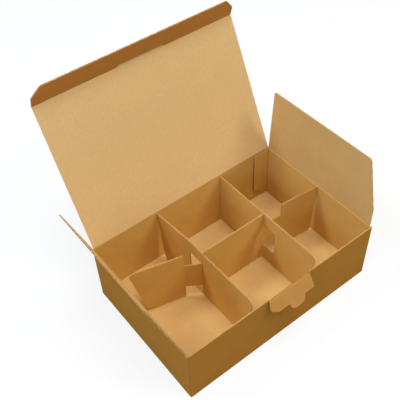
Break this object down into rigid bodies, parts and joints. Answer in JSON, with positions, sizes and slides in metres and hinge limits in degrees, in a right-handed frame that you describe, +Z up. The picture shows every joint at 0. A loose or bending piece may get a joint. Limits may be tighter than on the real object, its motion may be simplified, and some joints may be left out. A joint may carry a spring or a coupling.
{
  "type": "ornament storage box",
  "caption": "Shallow kraft cardboard storage box with a hinged tuck lid, dust flaps, a front lock tab and an interlocking cell divider",
  "frame": {"origin": "middle of the tray's underside, on the surface that the box stands on", "axes": "+X along the tray's long side to the right, +Y to the back wall that carries the lid, +Z up"},
  "size_m": [0.3396, 0.3055, 0.307],
  "materials": {
    "box_board": "matt kraft liner",
    "lid_board": "matt kraft liner",
    "flap_board": "matt kraft liner",
    "divider_board": "matt kraft liner"
  },
  "bodies": {
    "box": {"tray": "box_board", "left_cross_divider": "divider_board", "right_cross_divider": "divider_board", "long_divider": "divider_board"},
    "lid": {"lid": "lid_board"},
    "tuck_flap": {"lid_tuck_flap": "lid_board"},
    "left_flap": {"left_dust_flap": "flap_board"},
    "right_flap": {"right_dust_flap": "flap_board"},
    "lock_tab": {"front_lock_tab": "flap_board"}
  },
  "joints": [
    {"name": "lid_hinge", "type": "hinge", "parent": "box", "child": "lid", "pos_m": [0, 0.1012, 0.0971], "axis": [-1, 0, 0], "range_deg": [-115.4, 84.6]},
    {"name": "tuck_hinge", "type": "hinge", "parent": "lid", "child": "tuck_flap", "pos_m": [0, 0.18712, 0.27804], "axis": [-1, 0, 0], "range_deg": [-56, 41.1]},
    {"name": "left_flap_hinge", "type": "hinge", "parent": "box", "child": "left_flap", "pos_m": [-0.1522, 0, 0.0952], "axis": [0, -1, 0], "range_deg": [-108.5, 96.5]},
    {"name": "right_flap_hinge", "type": "hinge", "parent": "box", "child": "right_flap", "pos_m": [0.1522, 0, 0.0952], "axis": [0, 1, 0], "range_deg": [-90, 115]},
    {"name": "lock_tab_hinge", "type": "hinge", "parent": "box", "child": "lock_tab", "pos_m": [0, -0.1031, 0.0952], "axis": [1, 0, 0], "range_deg": [-245, 24]}
  ],
  "couplings": [
    {"joint": "tuck_hinge", "follows": "lid_hinge", "ratio": 0.485}
  ]
}
